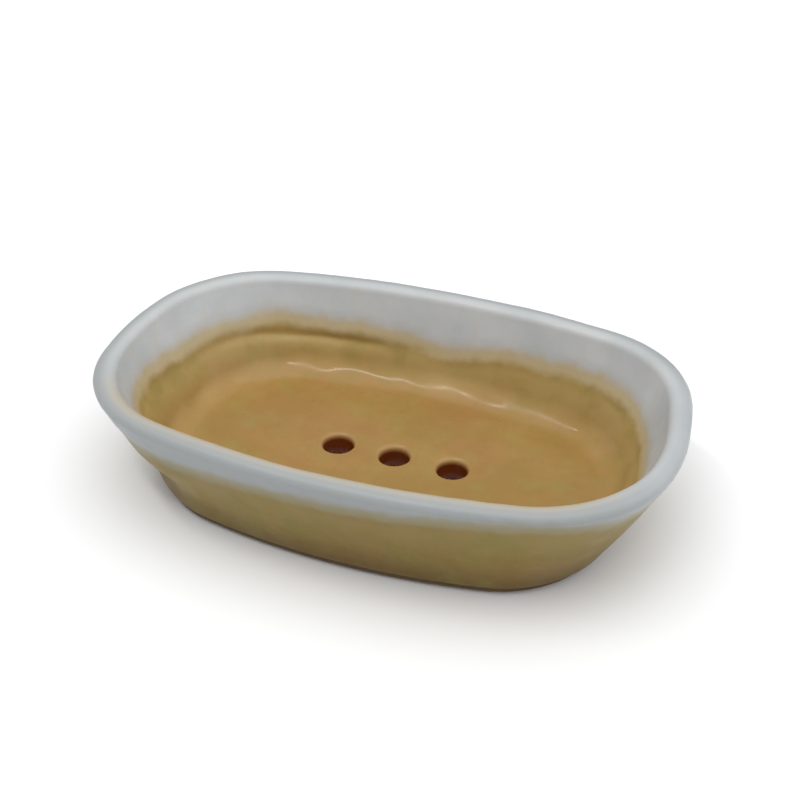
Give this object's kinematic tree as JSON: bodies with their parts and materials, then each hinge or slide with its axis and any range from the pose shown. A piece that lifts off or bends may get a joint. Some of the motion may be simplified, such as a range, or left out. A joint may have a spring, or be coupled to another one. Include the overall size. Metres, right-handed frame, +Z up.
{
  "type": "soap dish",
  "caption": "Oval pottery soap dish with a coved basin, round drain holes through its floor, a bare foot ring, honey-brown glaze and a white-glazed rolled lip.",
  "frame": {"origin": "on the table, under the middle of the dish", "axes": "+Z up out of the basin, +X along the length and the row of drain holes, +Y towards the far long side in the picture"},
  "size_m": [0.14, 0.0896, 0.03],
  "materials": {
    "bare_stoneware": "bare fired clay, matte",
    "honey_glaze": "gloss honey-brown glaze",
    "white_glaze": "gloss cool white glaze"
  },
  "bodies": {
    "root": {"stoneware_body": "bare_stoneware", "honey_glaze_inside": "honey_glaze", "honey_glaze_outside": "honey_glaze", "white_glaze_rim": "white_glaze"}
  },
  "joints": []
}
